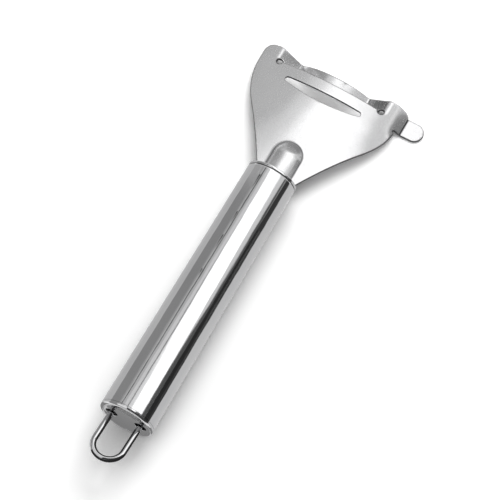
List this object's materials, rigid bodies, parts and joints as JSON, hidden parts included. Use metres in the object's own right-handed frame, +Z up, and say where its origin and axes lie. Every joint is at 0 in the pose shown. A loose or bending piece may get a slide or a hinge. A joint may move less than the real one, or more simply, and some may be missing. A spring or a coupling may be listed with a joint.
{
  "type": "corn stripper",
  "caption": "Hand tool that strips kernels off a cob: a stamped steel head with a dropped, arched blade strip and a slot, on a round hollow handle with a swinging wire hanging loop.",
  "frame": {"origin": "middle of the underside of the whole tool's box, on the table that the tool lies on", "axes": "+X along the handle from the hanging loop to the head, +Y to the left of the head, +Z up from the table"},
  "size_m": [0.174, 0.0664, 0.021],
  "materials": {
    "polished_steel": "polished",
    "satin_steel": "satin",
    "bright_wire": "bright",
    "plug_plastic": "matte"
  },
  "bodies": {
    "tool": {"handle_tube": "polished_steel", "head_plate": "satin_steel", "mouth_plug": "plug_plastic", "tang_pin_1": "satin_steel", "tang_pin_2": "satin_steel", "end_cap": "polished_steel", "loop_keeper": "satin_steel"},
    "loop": {"hanging_loop": "bright_wire"}
  },
  "joints": [
    {"name": "loop_swing", "type": "hinge", "parent": "tool", "child": "loop", "pos_m": [-0.06645, 0.0047, 0.01053], "axis": [0, 1, 0], "range_deg": [-32, 16]}
  ]
}
